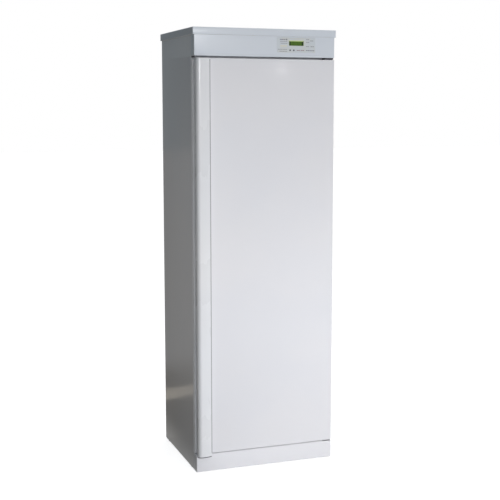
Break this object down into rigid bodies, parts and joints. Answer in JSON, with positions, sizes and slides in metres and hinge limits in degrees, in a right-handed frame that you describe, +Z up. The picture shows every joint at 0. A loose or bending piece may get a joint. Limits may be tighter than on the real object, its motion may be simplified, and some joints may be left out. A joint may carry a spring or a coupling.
{
  "type": "drying cabinet",
  "caption": "Tall free-standing drying cabinet with a full-height side-hinged door, a rounded handle profile, a control fascia and fold-up racks inside.",
  "frame": {"origin": "on the floor, under the middle of the whole object's box", "axes": "+X to the right seen from the front, the door faces -Y, +Z up"},
  "size_m": [0.612, 0.518, 1.828],
  "materials": {
    "enamel": "glossy light grey-white enamel on folded steel sheet",
    "handle_enamel": "glossy light grey-white paint on an aluminium profile",
    "lining": "satin white enamel on thin steel sheet",
    "zinc_sheet": "galvanised steel sheet with a faint spangle",
    "steel": "bright zinc-plated steel",
    "insulation": "mineral wool board",
    "seal_rubber": "soft light grey seal",
    "bush_plastic": "white acetal",
    "black_plastic": "moulded black plastic",
    "motor_paint": "black painted motor can",
    "foot_plastic": "black nylon foot on a steel screw",
    "heating_steel": "oxidised stainless heating tube",
    "circuit_board": "green solder mask",
    "display": "lit green display behind clear film",
    "overlay_film": "satin printed film",
    "key_plastic": "dark grey key cap",
    "magnet": "nickel-plated magnet",
    "rack_coating": "white coated steel rod"
  },
  "bodies": {
    "cabinet": {"top_cover": "enamel", "top_insulation": "insulation", "fascia_panel": "enamel", "plinth_panel": "enamel", "side_panel_left": "enamel", "side_panel_right": "enamel", "back_panel": "zinc_sheet", "base_plate": "zinc_sheet", "base_rails": "zinc_sheet", "frame_head": "enamel", "frame_sill": "enamel", "frame_stiles": "enamel", "liner_left": "lining", "liner_right": "lining", "liner_back": "lining", "liner_floor": "lining", "liner_ceiling": "lining", "side_insulation": "insulation", "ceiling_grilles": "zinc_sheet", "exhaust_duct": "zinc_sheet", "exhaust_collar": "zinc_sheet", "fan_housing": "zinc_sheet", "fan_motor": "motor_paint", "heating_element": "heating_steel", "heater_plate": "zinc_sheet", "safety_thermostat": "black_plastic", "humidity_sensor": "black_plastic", "terminal_box": "black_plastic", "cable_gland": "black_plastic", "control_board": "circuit_board", "lcd_module": "black_plastic", "lcd_window": "display", "panel_overlay": "overlay_film", "hinge_top": "steel", "hinge_bottom": "steel", "door_sensor": "black_plastic", "hanger_rack_upper": "rack_coating", "rack_supports": "zinc_sheet", "drip_tray": "zinc_sheet", "case_screws": "steel"},
    "door": {"door_skin": "enamel", "door_liner": "lining", "door_core": "insulation", "door_seal": "seal_rubber", "door_bushes": "bush_plastic", "handle_profile": "handle_enamel", "edge_strip": "handle_enamel", "handle_caps": "handle_enamel", "sensor_magnet": "magnet"},
    "fan_rotor": {"fan_wheel": "black_plastic", "motor_shaft": "steel"},
    "left_key": {"key_left": "key_plastic"},
    "right_key": {"key_right": "key_plastic"},
    "middle_rack": {"hanger_rack_middle": "rack_coating"},
    "lower_rack": {"hanger_rack_lower": "rack_coating"},
    "tilting_shoe_rack": {"shoe_rack": "rack_coating"},
    "front_left_foot": {"foot_front_left": "foot_plastic"},
    "front_right_foot": {"foot_front_right": "foot_plastic"},
    "back_left_foot": {"foot_back_left": "foot_plastic"},
    "back_right_foot": {"foot_back_right": "foot_plastic"}
  },
  "joints": [
    {"name": "door_hinge", "type": "hinge", "parent": "cabinet", "child": "door", "pos_m": [0.29, -0.223, 0.079], "axis": [0, 0, 1], "range_deg": [0, 115]},
    {"name": "fan_spin", "type": "hinge", "parent": "cabinet", "child": "fan_rotor", "pos_m": [-0.07, 0.0191, 1.645], "axis": [0, 0, 1], "continuous": true},
    {"name": "left_key_press", "type": "slide", "parent": "cabinet", "child": "left_key", "axis": [0, 1, 0], "range_m": [0, 0.0008], "stiffness_N_per_m": 600},
    {"name": "right_key_press", "type": "slide", "parent": "cabinet", "child": "right_key", "axis": [0, 1, 0], "range_m": [0, 0.0008], "stiffness_N_per_m": 600},
    {"name": "middle_rack_fold", "type": "hinge", "parent": "cabinet", "child": "middle_rack", "pos_m": [0, 0.1986, 1.13], "axis": [-1, 0, 0], "range_deg": [0, 92]},
    {"name": "lower_rack_fold", "type": "hinge", "parent": "cabinet", "child": "lower_rack", "pos_m": [0, 0.1986, 0.69], "axis": [-1, 0, 0], "range_deg": [0, 92]},
    {"name": "shoe_rack_fold", "type": "hinge", "parent": "cabinet", "child": "tilting_shoe_rack", "pos_m": [0, 0.1986, 0.22], "axis": [-1, 0, 0], "range_deg": [0, 92]},
    {"name": "front_left_foot_turn", "type": "hinge", "parent": "cabinet", "child": "front_left_foot", "pos_m": [-0.2792, -0.156, 0], "axis": [0, 0, 1], "continuous": true},
    {"name": "front_right_foot_turn", "type": "hinge", "parent": "cabinet", "child": "front_right_foot", "pos_m": [0.2792, -0.156, 0], "axis": [0, 0, 1], "continuous": true},
    {"name": "back_left_foot_turn", "type": "hinge", "parent": "cabinet", "child": "back_left_foot", "pos_m": [-0.2792, 0.2094, 0], "axis": [0, 0, 1], "continuous": true},
    {"name": "back_right_foot_turn", "type": "hinge", "parent": "cabinet", "child": "back_right_foot", "pos_m": [0.2792, 0.2094, 0], "axis": [0, 0, 1], "continuous": true}
  ]
}
